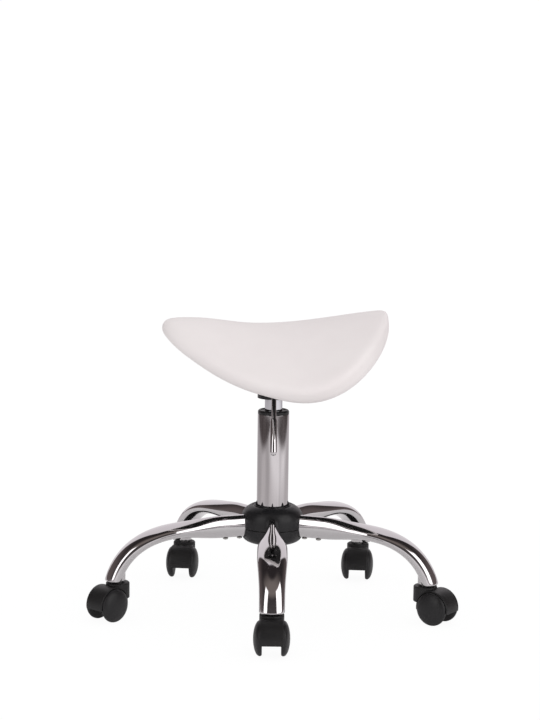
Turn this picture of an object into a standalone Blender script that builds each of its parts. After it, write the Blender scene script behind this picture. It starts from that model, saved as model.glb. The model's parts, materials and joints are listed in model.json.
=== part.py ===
"""Saddle-seat work stool: five-arm rolling base, gas-lift column and padded saddle seat.

Metres, +Z up, the floor at Z = 0 and the origin under the middle of the footprint.
The nose of the saddle points to -X and one base arm points to -Y.
"""

import math

import bmesh
import bpy
from mathutils import Matrix, Vector

# ---- driving dimensions -------------------------------------------------------------

GAP = 0.0003                 # clearance between neighbouring pieces

# five-arm base
ARM_COUNT = 5
STEM_CIRCLE_R = 0.2525       # caster stems around the column
CASTER_SWIVEL_DEG = (-90.0, -37.0, -95.0, -96.0, -132.0)   # trail direction of each caster
ARM_ROOT_R = 0.034
ARM_BEND_R = 0.140
ARM_AXIS_Z = 0.1352
ARM_END_R = 0.2598
ARM_END_Z = 0.0595
ARM_SAG = 0.0012             # the level run falls by this much towards the bend
ARM_HUB_HALF = (0.0120, 0.0178)   # half width and half height at the hub
ARM_FLAT_HALF = (0.0230, 0.0114)  # where the arm is widest and flattest
ARM_END_HALF = (0.0191, 0.0124)   # at the caster end
ARM_FLATTEN_R = (0.085, 0.165)
ARM_EASE_R = (0.190, 0.260)
ARM_WALL = 0.002
SOCKET_R = 0.0120            # welded caster socket under each arm end
SOCKET_TOP_Z = 0.079
FINGER_HALF_SIZES = (0.0150, 0.0094)   # half height and half width of a spider's finger
SCREW_RADII = (0.0545, 0.0775)
SCREW_R = 0.0019
SCREW_LENGTH = 0.010

# casters
WHEEL_R = 0.026
WHEEL_INNER_Y = 0.0141       # inner face of a wheel, from the middle of the caster
WHEEL_TREAD_Y = 0.0175
WHEEL_OUTER_Y = 0.0272
CASTER_TRAIL = 0.0225
HOOD_R = 0.0284
HOOD_HALF_WIDTH = 0.0175
HOOD_LIP_Z = 0.0215
NECK_R = 0.0185
NECK_TOP_Z = 0.0575
STEM_R = 0.0055
STEM_BASE_Z = 0.040
AXLE_R = 0.0025
AXLE_HALF_LENGTH = 0.0230

# column
TUBE_R = 0.025
TUBE_WALL = 0.0018
TUBE_TOP_Z = 0.3132
BUSH_TOP_Z = 0.3193
TUBE_BASE_Z = 0.117
TAPER_TOP_Z = 0.150
TAPER_BASE_R = 0.0235
CYLINDER_R = 0.014
CYLINDER_BASE_Z = 0.130
CYLINDER_TOP_Z = 0.388
ROD_R = 0.005

# hub covers
COVER_R = 0.0500
COVER_WALL = 0.0022
COVER_PART_Z = 0.1315
COVER_TOP_Z = 0.1665
COVER_BASE_Z = 0.1065

# seat
SEAT_MID_X = 0.001
SEAT_HALF_LENGTH = 0.178
SEAT_WIDTH_TERMS = (0.1612, 0.0800, 0.0224)   # half width: mid, growth to rear, curvature
CUSHION_THICK = 0.038
NOSE_THICK = 0.033
NOSE_TAPER_X = (-0.080, -0.170)   # the cushion thins from the first to the second
CUSHION_EDGE_POWERS = (18.0, 36.0)   # at the sides and rear; the higher, the squarer the edge
FLAP_STEEPNESS = 1.14        # of the side flaps under the middle of the seat
FLAP_NOSE_GROWTH = 19.5
FLAP_REAR_EASE = 15.7
FLAP_NOSE_PULL = 2.82
FLAP_SOFT = 0.03             # half width of the rounded ridge between the flaps
SHELL_THICK = 0.005
SHELL_SCALE = 0.87           # outline of the shell against that of the cushion
SHELL_EDGE_POWERS = (16.0, 16.0)
RIDGE_DIP_X = -0.030
RIDGE_DIP_Z = 0.4567
NOSE_RISE = 0.0079
NOSE_RISE_LENGTH = 0.102
REAR_RISE = 0.0260
REAR_RISE_LENGTH = 0.263
PLATE_HALF_X = 0.062
PLATE_HALF_Y = 0.056
PLATE_BASE_Z = 0.380
PLATE_THICK = 0.003
BOLT_X = 0.050
BOLT_Y = 0.045
BOLT_R = 0.003
BOLT_REACH = 0.009           # bolt above the plate

# release lever
LEVER_PIVOT_Y = -0.032
LEVER_Z = 0.3975
LEVER_R = 0.0038
CROSS_R = 0.0020             # the lever's cross pin
LEVER_BEND_Y = -0.050
LEVER_BEND_Z = 0.380
LEVER_SLOPE = math.radians(34.3)   # of the lever's lower run, from the vertical
GRIP_R = 0.0053
GRIP_START = 0.074           # along the sloping run, from the bend
GRIP_BORE = 0.015            # how deep the bar goes into the grip
GRIP_STRAIGHT_END = 0.100
GRIP_ARC = 0.033
GRIP_END_SLOPE = math.radians(12.0)

# The footprint reaches further towards the front arm than towards the two rear ones, so the
# column stands behind the origin, which is under the middle of the footprint.
FRONT_REACH = STEM_CIRCLE_R + CASTER_TRAIL + HOOD_R
REAR_REACH = 0.225
COLUMN_Y = (FRONT_REACH - REAR_REACH) / 2.0

# Facets around turned and round pieces, by size.
COVER_FACETS = 30
TUBE_FACETS = 24
HOOD_FACETS = 20
WHEEL_FACETS = 20
ROD_FACETS = 12
SCREW_FACETS = 8
HOLE_FACETS = 6
MERGE = 0.00001

# The flats of a faceted tread lie a little inside its corners.
WHEEL_CORNER_R = WHEEL_R / math.cos(math.pi / WHEEL_FACETS)


# ---- scene helpers ------------------------------------------------------------------

for old in list(bpy.data.objects):
    bpy.data.objects.remove(old, do_unlink=True)

PARTS = bpy.data.collections.new("saddle_stool")
CUTTERS = bpy.data.collections.new("cutters")
bpy.context.scene.collection.children.link(PARTS)
bpy.context.scene.collection.children.link(CUTTERS)


def material(name, colour, roughness, metallic=0.0):
    """A Principled material of one colour."""
    made = bpy.data.materials.new(name)
    made.use_nodes = True
    shader = made.node_tree.nodes["Principled BSDF"]
    shader.inputs["Base Color"].default_value = (*colour, 1.0)
    shader.inputs["Roughness"].default_value = roughness
    shader.inputs["Metallic"].default_value = metallic
    return made


FINISHES = {
    "leather": ((0.83, 0.79, 0.79), 0.45, 0.0),
    "chrome": ((0.80, 0.79, 0.80), 0.08, 1.0),
    "steel": ((0.55, 0.55, 0.56), 0.30, 1.0),
    "black_plastic": ((0.020, 0.020, 0.022), 0.45, 0.0),
    "wheel_plastic": ((0.018, 0.018, 0.020), 0.50, 0.0),
    "black_steel": ((0.025, 0.025, 0.027), 0.40, 0.3),
    "shell_plastic": ((0.030, 0.030, 0.032), 0.60, 0.0),
}


def empty(name, location, parent=None, turn_z=0.0):
    """An empty that places what is parented to it."""
    made = bpy.data.objects.new(name, None)
    made.location = location
    made.rotation_euler = (0.0, 0.0, turn_z)
    made.parent = parent
    CUTTERS.objects.link(made)
    return made


def place(made, finish, parent):
    """Puts a finished piece in the parts collection, with its own material."""
    PARTS.objects.link(made)
    made.parent = parent
    made.data.materials.clear()
    colour, roughness, metallic = FINISHES[finish]
    made.data.materials.append(material(made.name + "_" + finish, colour, roughness, metallic))
    return made


def cutter(made, parent):
    """Puts a cutting shape out of sight in the cutters collection."""
    CUTTERS.objects.link(made)
    made.parent = parent
    made.hide_render = True
    made.display_type = "WIRE"
    return made


def mesh_object(name, bm, smooth=True):
    """Turns a bmesh into an object, shaded smooth but for its sharp edges."""
    mesh = bpy.data.meshes.new(name)
    bm.to_mesh(mesh)
    bm.free()
    if smooth:
        mesh.shade_smooth()
        mesh.set_sharp_from_angle(angle=math.radians(35))
    return bpy.data.objects.new(name, mesh)


def turned(name, profile, steps=TUBE_FACETS):
    """A turned piece: the profile's (radius, height) points run down its outer side."""
    bm = bmesh.new()
    points = [bm.verts.new((radius, 0.0, height)) for radius, height in profile]
    for first, second in zip(points, points[1:]):
        bm.edges.new((first, second))
    if profile[0][0] > 0.0:
        bm.edges.new((points[-1], points[0]))
    made = mesh_object(name, bm, smooth=False)
    screw = made.modifiers.new("turn", "SCREW")
    screw.axis = "Z"
    screw.steps = steps
    screw.render_steps = steps
    screw.use_merge_vertices = True
    screw.merge_threshold = MERGE
    screw.use_smooth_shade = True
    return made


def cylinder(name, radius, low, high, segments, turn=None, squash=(1.0, 1.0)):
    """A closed cylinder along Z from low to high; squash makes it oval, turn then lays it over."""
    bm = bmesh.new()
    bmesh.ops.create_cone(bm, cap_ends=True, segments=segments, radius1=radius,
                          radius2=radius, depth=high - low)
    bmesh.ops.translate(bm, verts=bm.verts, vec=(0.0, 0.0, (high + low) / 2.0))
    bmesh.ops.scale(bm, verts=bm.verts, vec=(squash[0], squash[1], 1.0))
    if turn is not None:
        bmesh.ops.transform(bm, verts=bm.verts, matrix=turn)
    return mesh_object(name, bm)


def box(name, low, high):
    """A closed box between two corners."""
    bm = bmesh.new()
    bmesh.ops.create_cube(bm, size=1.0)
    size = [top - base for base, top in zip(low, high)]
    middle = [(top + base) / 2.0 for base, top in zip(low, high)]
    bmesh.ops.scale(bm, verts=bm.verts, vec=size)
    bmesh.ops.translate(bm, verts=bm.verts, vec=middle)
    return mesh_object(name, bm, smooth=False)


def boolean(made, other, operation):
    """Adds an exact Boolean of another object."""
    step = made.modifiers.new(operation.lower(), "BOOLEAN")
    step.operation = operation
    step.solver = "EXACT"
    step.object = other


def clear_r(radius, facets):
    """Corner radius of a faceted hole whose flats clear a round piece of this radius."""
    return (radius + GAP) / math.cos(math.pi / facets)


def flat(point_y, point_z):
    """A point of the lever's plane, X = 0."""
    return Vector((0.0, point_y, point_z))


def smoothstep(value, low, high):
    """0 below low, 1 above high, smooth between."""
    share = min(max((value - low) / (high - low), 0.0), 1.0)
    return share * share * (3.0 - 2.0 * share)


# ---- base arms ----------------------------------------------------------------------

BEND = (
    Vector((ARM_BEND_R, ARM_AXIS_Z - ARM_SAG)),
    Vector((0.2020, ARM_AXIS_Z - 0.0020)),
    Vector((0.2445, 0.1090)),
    Vector((ARM_END_R, ARM_END_Z)),
)


def bend_point(share):
    """The bend's centre line, one cubic curve from the level run to the caster end."""
    rest = 1.0 - share
    return (BEND[0] * rest ** 3 + BEND[1] * 3.0 * rest * rest * share
            + BEND[2] * 3.0 * rest * share * share + BEND[3] * share ** 3)


def arm_stations(level_count, bend_count, last_share):
    """Centre points (radius, height) of the arm's sections, from the hub outwards."""
    root = Vector((ARM_ROOT_R, ARM_AXIS_Z))
    start = bend_point(0.0)
    points = [root.lerp(start, i / level_count) for i in range(level_count)]
    points += [bend_point(last_share * i / bend_count) for i in range(bend_count + 1)]
    return points


def arm_half_sizes(radius):
    """Half width and half height: a tall oval at the hub, a flat one from the bend on."""
    flatten = smoothstep(radius, *ARM_FLATTEN_R)
    ease = smoothstep(radius, *ARM_EASE_R)
    return [hub + (level - hub) * flatten + (end - level) * ease
            for hub, level, end in zip(ARM_HUB_HALF, ARM_FLAT_HALF, ARM_END_HALF)]


def arm_ring(bm, point, tilt, half_width, half_height, count):
    """One oval section of vertices across the arm at a centre point."""
    ring = []
    for i in range(count):
        angle = 2.0 * math.pi * i / count
        side = half_width * math.cos(angle)
        rise = half_height * math.sin(angle)
        ring.append(bm.verts.new((point.x + rise * math.sin(tilt), side,
                                  point.y + rise * math.cos(tilt))))
    return ring


def arm_surface(bm, points, inset, count, level_end):
    """The rings along the arm and the faces between them."""
    rings = []
    for i, point in enumerate(points):
        before = points[max(i - 1, 0)]
        after = points[min(i + 1, len(points) - 1)]
        along = after - before
        tilt = math.atan2(-along.y, along.x)
        half_width, half_height = arm_half_sizes(point.x)
        if level_end and i == len(points) - 1:
            half_height /= math.sin(tilt)
            tilt = math.pi / 2.0
        rings.append(arm_ring(bm, point, tilt, half_width - inset, half_height - inset, count))
    for first, second in zip(rings, rings[1:]):
        for i in range(count):
            j = (i + 1) % count
            bm.faces.new((first[i], first[j], second[j], second[i]))
    return rings


def arm_mesh():
    """A hollow arm along +X, open at the hub and closed at the caster end."""
    bm = bmesh.new()
    count = 14
    outer = arm_surface(bm, arm_stations(4, 7, 1.0), 0.0, count, True)
    inner = arm_surface(bm, arm_stations(4, 3, 0.66), ARM_WALL, count, False)
    for i in range(count):
        j = (i + 1) % count
        bm.faces.new((outer[0][i], outer[0][j], inner[0][j], inner[0][i]))
    bm.faces.new(outer[-1])
    bm.faces.new(inner[-1])
    bmesh.ops.recalc_face_normals(bm, faces=bm.faces)
    return bm


def arm_underside(radius):
    """Height of the arm's underside on its centre line, on the level run."""
    share = (radius - ARM_ROOT_R) / (ARM_BEND_R - ARM_ROOT_R)
    return ARM_AXIS_Z - ARM_SAG * share - arm_half_sizes(radius)[1]


def build_arm(number, parent):
    """An arm with its welded caster socket and two screw holes."""
    arm = place(mesh_object(f"arm_{number}", arm_mesh()), "chrome", parent)
    socket = cutter(cylinder(f"socket_{number}", SOCKET_R, ARM_END_Z, SOCKET_TOP_Z, ROD_FACETS),
                    parent)
    bore = cutter(cylinder(f"socket_bore_{number}", clear_r(STEM_R, SCREW_FACETS),
                           ARM_END_Z - 0.01, SOCKET_TOP_Z - 0.002, SCREW_FACETS), parent)
    for shape in (socket, bore):
        shape.location = (STEM_CIRCLE_R, 0.0, 0.0)
    boolean(arm, socket, "UNION")
    boolean(arm, bore, "DIFFERENCE")
    for k, radius in enumerate(SCREW_RADII):
        low = arm_underside(radius)
        hole = cutter(cylinder(f"arm_hole_{number}_{k + 1}", clear_r(SCREW_R, HOLE_FACETS),
                               low - 0.004, low + 0.004, HOLE_FACETS), parent)
        hole.location = (radius, 0.0, 0.0)
        boolean(arm, hole, "DIFFERENCE")
        build_arm_screw(f"arm_screw_{number}_{'inner' if k == 0 else 'outer'}", radius, low, parent)


def build_arm_screw(name, radius, low, parent):
    """A pan-head screw from below, through the arm into the spider's finger."""
    top = low + SCREW_LENGTH
    head = low - GAP
    profile = ((0.0, top), (SCREW_R, top), (SCREW_R, head), (0.0044, head),
               (0.0036, head - 0.0022), (0.0, head - 0.0027))
    screw = place(turned(name, profile, SCREW_FACETS), "steel", parent)
    screw.location = (radius, 0.0, 0.0)


# ---- hub ----------------------------------------------------------------------------


def build_hub(parent, spokes):
    """The spider with its tapered sleeve, and the two covers closed over it."""
    sleeve_base = 0.1150
    sleeve_top = 0.1580
    core = place(turned("hub_core", (
        (TUBE_R + GAP, sleeve_top), (0.0305, sleeve_top), (0.0305, sleeve_base),
        (TAPER_BASE_R + GAP, sleeve_base), (TUBE_R + GAP, TAPER_TOP_Z))),
        "black_steel", parent)
    for k, spoke in enumerate(spokes):
        lay = Matrix.Rotation(math.pi / 2.0, 4, "Y")
        finger = cutter(cylinder(f"finger_{k + 1}", 1.0, 0.0285, 0.088, 10, lay,
                                 FINGER_HALF_SIZES), spoke)
        finger.location = (0.0, 0.0, ARM_AXIS_Z - 0.0004)
        boolean(core, finger, "UNION")
        for j, radius in enumerate(SCREW_RADII):
            top = arm_underside(radius) + SCREW_LENGTH + GAP
            hole = cutter(cylinder(f"finger_hole_{k + 1}_{j + 1}", clear_r(SCREW_R, HOLE_FACETS),
                                   ARM_AXIS_Z - 0.018, top, HOLE_FACETS), spoke)
            hole.location = (radius, 0.0, 0.0)
            boolean(core, hole, "DIFFERENCE")

    inner_r = COVER_R - COVER_WALL
    top = place(turned("hub_top_cover", (
        (TUBE_R + 2.0 * GAP, COVER_TOP_Z), (0.0300, COVER_TOP_Z), (0.0370, 0.1643),
        (0.0435, 0.1598), (0.0480, 0.1530), (COVER_R, 0.1455), (COVER_R, COVER_PART_Z + GAP / 2.0),
        (inner_r, COVER_PART_Z + GAP / 2.0), (inner_r, 0.1450), (0.0460, 0.1515), (0.0418, 0.1579),
        (0.0362, 0.1618), (TUBE_R + 2.0 * GAP, 0.1635)), COVER_FACETS), "black_plastic", parent)
    base = place(turned("hub_bottom_cover", (
        (0.0, COVER_BASE_Z + COVER_WALL), (0.0385, COVER_BASE_Z + COVER_WALL), (0.0445, 0.1135),
        (inner_r, 0.1205), (inner_r, COVER_PART_Z - GAP / 2.0), (COVER_R, COVER_PART_Z - GAP / 2.0),
        (COVER_R - 0.0003, 0.1200), (0.0462, 0.1120), (0.0395, 0.1077), (0.0300, COVER_BASE_Z),
        (0.0, COVER_BASE_Z)), COVER_FACETS), "black_plastic", parent)
    for k, spoke in enumerate(spokes):
        half_width, half_height = arm_half_sizes(ARM_ROOT_R)
        lay = Matrix.Rotation(math.pi / 2.0, 4, "Y")
        arch = cutter(cylinder(f"arch_{k + 1}", 1.0, 0.030, 0.075, 14, lay,
                               (half_height + 2.0 * GAP, half_width + 2.0 * GAP)), spoke)
        arch.location = (0.0, 0.0, ARM_AXIS_Z - 0.0002)
        boolean(top, arch, "DIFFERENCE")
        boolean(base, arch, "DIFFERENCE")


# ---- casters ------------------------------------------------------------------------


def build_caster(number, stem, swivel):
    """A hooded twin-wheel caster; the swivel's +X is the direction that the wheels trail."""
    lay = Matrix.Rotation(math.pi / 2.0, 4, "X")
    axle_at = (CASTER_TRAIL, 0.0, WHEEL_R)

    collar = NECK_TOP_Z + GAP
    place(turned(f"caster_stem_{number}", (
        (0.0, 0.0765), (STEM_R, 0.0750), (STEM_R, collar + 0.0014), (0.0088, collar + 0.0014),
        (0.0088, collar), (STEM_R, collar), (STEM_R, STEM_BASE_Z), (0.0, STEM_BASE_Z)),
        SCREW_FACETS), "steel", stem)

    hood = place(cylinder(f"caster_hood_{number}", HOOD_R, -HOOD_HALF_WIDTH, HOOD_HALF_WIDTH,
                          HOOD_FACETS, lay), "black_plastic", swivel)
    hood.location = axle_at
    neck = cutter(turned(f"neck_{number}", (
        (0.0, NECK_TOP_Z), (NECK_R - 0.0018, NECK_TOP_Z), (NECK_R, NECK_TOP_Z - 0.0018),
        (NECK_R, 0.0325), (0.0, 0.0325)), HOOD_FACETS), swivel)
    boolean(hood, neck, "UNION")
    below = cutter(box(f"below_{number}", (-0.05, -0.05, -0.02), (0.08, 0.05, HOOD_LIP_Z)), swivel)
    boolean(hood, below, "DIFFERENCE")
    for side, sign in (("left", 1.0), ("right", -1.0)):
        near = sign * (WHEEL_INNER_Y - GAP)
        far = sign * 0.040
        room = cutter(cylinder(f"wheel_room_{number}_{side}",
                               clear_r(WHEEL_CORNER_R, HOOD_FACETS), min(near, far),
                               max(near, far), HOOD_FACETS, lay), swivel)
        room.location = axle_at
        boolean(hood, room, "DIFFERENCE")
    axle_hole = cutter(cylinder(f"axle_hole_{number}", clear_r(AXLE_R, SCREW_FACETS), -0.03,
                                0.03, SCREW_FACETS, lay), swivel)
    axle_hole.location = axle_at
    boolean(hood, axle_hole, "DIFFERENCE")
    stem_hole = cutter(cylinder(f"stem_hole_{number}", clear_r(STEM_R, SCREW_FACETS),
                                STEM_BASE_Z - GAP, 0.07, SCREW_FACETS), swivel)
    boolean(hood, stem_hole, "DIFFERENCE")

    axle = place(cylinder(f"caster_axle_{number}", AXLE_R, -AXLE_HALF_LENGTH,
                          AXLE_HALF_LENGTH, SCREW_FACETS, lay), "steel", swivel)
    axle.location = axle_at
    for side, sign in (("left", 1.0), ("right", -1.0)):
        wheel = place(turned(f"wheel_{side}_{number}", wheel_profile(), WHEEL_FACETS),
                      "wheel_plastic", swivel)
        # Half a facet of turn lays one flat of the tread on the floor.
        wheel.matrix_local = (Matrix.Translation(axle_at)
                              @ Matrix.Rotation(-sign * math.pi / 2.0, 4, "X")
                              @ Matrix.Rotation(math.pi / WHEEL_FACETS, 4, "Z"))


def wheel_profile():
    """A wheel's half section, from the middle of its domed outer face to its blind bore."""
    tread = WHEEL_CORNER_R
    bore = clear_r(AXLE_R, WHEEL_FACETS)
    bore_end = AXLE_HALF_LENGTH + GAP
    dome = WHEEL_OUTER_Y - WHEEL_TREAD_Y
    profile = []
    for degrees in (0, 30, 52, 72):
        angle = math.radians(degrees)
        profile.append((tread * math.sin(angle), WHEEL_TREAD_Y + dome * math.cos(angle)))
    profile += [(tread, WHEEL_TREAD_Y + 0.0006), (tread, WHEEL_TREAD_Y - 0.0010),
                (tread - 0.0020, WHEEL_INNER_Y), (bore, WHEEL_INNER_Y), (bore, bore_end),
                (0.0, bore_end)]
    return profile


# ---- column -------------------------------------------------------------------------


def build_column(parent):
    """The outer tube, its guide bush and the gas spring inside."""
    inner = TUBE_R - TUBE_WALL
    floor = TUBE_BASE_Z + 0.003
    place(turned("outer_tube", (
        (inner, TUBE_TOP_Z), (TUBE_R, TUBE_TOP_Z), (TUBE_R, TAPER_TOP_Z),
        (TAPER_BASE_R, TUBE_BASE_Z), (ROD_R + 2.0 * GAP, TUBE_BASE_Z), (ROD_R + 2.0 * GAP, floor),
        (TAPER_BASE_R - TUBE_WALL, floor), (inner, TAPER_TOP_Z)), TUBE_FACETS), "chrome", parent)
    bush_r = inner - GAP
    bore = CYLINDER_R + GAP
    rest = TUBE_TOP_Z + GAP
    place(turned("tube_bush", (
        (bore, BUSH_TOP_Z - 0.0012), (0.0160, BUSH_TOP_Z - 0.0012), (0.0205, BUSH_TOP_Z - 0.0004),
        (0.0225, BUSH_TOP_Z), (0.0243, BUSH_TOP_Z - 0.0012), (0.0248, BUSH_TOP_Z - 0.0030),
        (0.0248, rest), (bush_r, rest), (bush_r, 0.2350), (bore, 0.2350))), "black_plastic", parent)
    place(turned("thrust_bearing", (
        (ROD_R + GAP, floor + GAP + 0.006), (0.0125, floor + GAP + 0.006), (0.0125, floor + GAP),
        (ROD_R + GAP, floor + GAP)), ROD_FACETS), "steel", parent)

    collar = floor + 0.006 + 2.0 * GAP
    groove_top = TUBE_BASE_Z - 0.0006
    groove_r = 0.0041
    place(turned("piston_rod", (
        (0.0, 0.3120), (0.0106, 0.3120), (0.0106, 0.3000), (ROD_R, 0.3000),
        (ROD_R, collar + 0.003), (0.0085, collar + 0.003), (0.0085, collar), (ROD_R, collar),
        (ROD_R, groove_top), (groove_r, groove_top), (groove_r, groove_top - 0.0024),
        (ROD_R, groove_top - 0.0024), (ROD_R, groove_top - 0.0050), (0.0, groove_top - 0.0050)),
        ROD_FACETS), "steel", parent)
    place(turned("retaining_clip", (
        (groove_r + GAP, groove_top - GAP), (0.0085, groove_top - GAP),
        (0.0085, groove_top - 0.0021), (groove_r + GAP, groove_top - 0.0021)), ROD_FACETS),
        "steel", parent)


def build_gas_cylinder(parent):
    """The sliding cylinder with its tapered head, rod guide and release pin."""
    taper_base = 0.340
    place(turned("gas_cylinder", (
        (0.0031, CYLINDER_TOP_Z), (0.0128, CYLINDER_TOP_Z), (0.0134, CYLINDER_TOP_Z - 0.001),
        (CYLINDER_R, taper_base), (CYLINDER_R, CYLINDER_BASE_Z), (0.0112, CYLINDER_BASE_Z),
        (0.0112, 0.370), (0.0031, 0.370))), "steel", parent)
    guide_base = CYLINDER_BASE_Z + 0.0005
    guide_top = guide_base + 0.0245
    place(turned("rod_guide", (
        (ROD_R + GAP, guide_top), (0.0109, guide_top), (0.0109, guide_base),
        (ROD_R + GAP, guide_base)), ROD_FACETS), "black_plastic", parent)
    pin_top = LEVER_Z - LEVER_R - 0.0008
    place(turned("release_pin", (
        (0.0, pin_top), (0.0022, pin_top), (0.0027, pin_top - 0.0006), (0.0027, 0.364),
        (0.0, 0.364)), SCREW_FACETS), "steel", parent)


# ---- saddle -------------------------------------------------------------------------


def ridge_height(x):
    """Top of the cushion along its middle: up to the nose, a dip, and up to the rear."""
    if x < RIDGE_DIP_X:
        share = min((RIDGE_DIP_X - x) / NOSE_RISE_LENGTH, 1.0)
        rise = NOSE_RISE
    else:
        share = min((x - RIDGE_DIP_X) / REAR_RISE_LENGTH, 1.0)
        rise = REAR_RISE
    return RIDGE_DIP_Z + rise * (1.0 - math.cos(math.pi * share)) / 2.0


def flap_drop(x, y):
    """How far the saddle falls away from its ridge towards the side flaps."""
    ahead = (x - math.hypot(x, FLAP_SOFT)) / 2.0
    growth = FLAP_NOSE_GROWTH if x < 0.0 else -FLAP_REAR_EASE
    steepness = FLAP_STEEPNESS + growth * x * x - FLAP_NOSE_PULL * ahead
    return max(steepness, 0.0) * ((y * y + FLAP_SOFT * FLAP_SOFT) ** 0.75 - FLAP_SOFT ** 1.5)


def cushion_thick(x):
    """Thickness of the cushion, thinner towards the nose."""
    nose = smoothstep(-x, -NOSE_TAPER_X[0], -NOSE_TAPER_X[1])
    return CUSHION_THICK + (NOSE_THICK - CUSHION_THICK) * nose


def saddle_point(angle, share):
    """A point of the cushion's middle surface; share is 0 in the middle and 1 at the edge."""
    along = math.cos(angle)
    mid, growth, curve = SEAT_WIDTH_TERMS
    half_width = mid + growth * along + curve * along * along
    x = SEAT_MID_X + SEAT_HALF_LENGTH * share * along
    y = half_width * share * math.sin(angle)
    return Vector((x, y, saddle_height(x, y)))


def saddle_normal(point):
    """The upward normal of the middle surface at a point."""
    step = 0.001
    slope_x = (saddle_height(point.x + step, point.y) - saddle_height(point.x - step, point.y))
    slope_y = (saddle_height(point.x, point.y + step) - saddle_height(point.x, point.y - step))
    return Vector((-slope_x, -slope_y, 2.0 * step)).normalized()


def saddle_height(x, y):
    """Height of the cushion's middle surface over a point of the floor."""
    return ridge_height(x) - cushion_thick(x) / 2.0 - flap_drop(x, y)


def shell_offset(x):
    """From the cushion's middle surface to the middle of the shell under it."""
    return -(cushion_thick(x) + SHELL_THICK) / 2.0 - 3.0 * GAP


def pad_mesh(segments, rings, scale, offset_at, thick_at, powers):
    """A ball pressed into a pad that follows the saddle's surface, squarest at the rear."""
    bm = bmesh.new()
    bmesh.ops.create_uvsphere(bm, u_segments=segments, v_segments=rings, radius=1.0)
    for vert in bm.verts:
        polar = math.atan2(math.hypot(vert.co.x, vert.co.y), vert.co.z)
        # The rings crowd towards the edge, where the pad turns over.
        fold = min(polar, math.pi - polar) / (math.pi / 2.0)
        share = 1.0 - (1.0 - fold) ** 1.9
        angle = math.atan2(vert.co.y, vert.co.x)
        point = saddle_point(angle, share * scale)
        side = 1.0 if polar < math.pi / 2.0 else -1.0
        power = powers[0] + (powers[1] - powers[0]) * max(math.cos(angle), 0.0)
        swell = math.sqrt(max(1.0 - share ** power, 0.0)) * side
        offset = offset_at(point.x) + swell * thick_at(point.x) / 2.0
        vert.co = point + saddle_normal(point) * offset
    bmesh.ops.recalc_face_normals(bm, faces=bm.faces)
    return bm


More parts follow.
